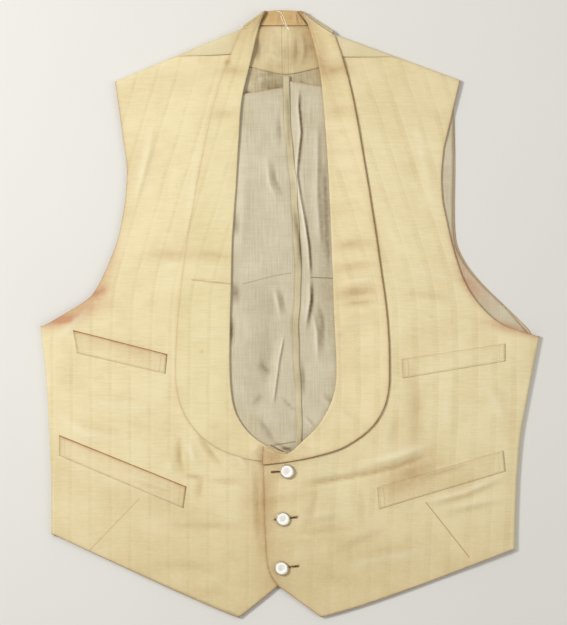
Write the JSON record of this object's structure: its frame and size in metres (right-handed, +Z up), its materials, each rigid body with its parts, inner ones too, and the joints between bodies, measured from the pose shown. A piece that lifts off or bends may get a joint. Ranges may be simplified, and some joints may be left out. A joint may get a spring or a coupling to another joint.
{
  "type": "waistcoat",
  "caption": "Single-breasted waistcoat with a shawl collar, deep rounded neck, welt pockets and a pointed hem, buttoned and laid flat on its back.",
  "frame": {"origin": "on the surface it lies on, under the centre of the garment's bounding box", "axes": "+X towards the wearer's left side, +Y towards the neck, +Z up out of the front of the garment"},
  "size_m": [0.4976, 0.6061, 0.0142],
  "materials": {
    "striped_twill": "cream cotton with fine twill stripes",
    "plain_cotton": "plain cream cotton",
    "grey_lining": "grey glazed cotton lining",
    "pearl": "polished mother-of-pearl",
    "metal_setting": "pale metal button setting"
  },
  "bodies": {
    "root": {"back_left": "plain_cotton", "back_right": "plain_cotton", "neck_facing": "plain_cotton", "centre_tape": "plain_cotton", "upper_lining": "grey_lining", "lining_left": "grey_lining", "lining_right": "grey_lining", "front_left": "striped_twill", "front_right": "striped_twill", "collar_left": "striped_twill", "collar_right": "striped_twill", "collar_stand": "striped_twill", "welt_breast_left": "striped_twill", "welt_breast_right": "striped_twill", "welt_waist_left": "striped_twill", "welt_waist_right": "striped_twill", "pearl_top": "pearl", "pearl_middle": "pearl", "pearl_bottom": "pearl", "setting_top": "metal_setting", "setting_middle": "metal_setting", "setting_bottom": "metal_setting"}
  },
  "joints": []
}
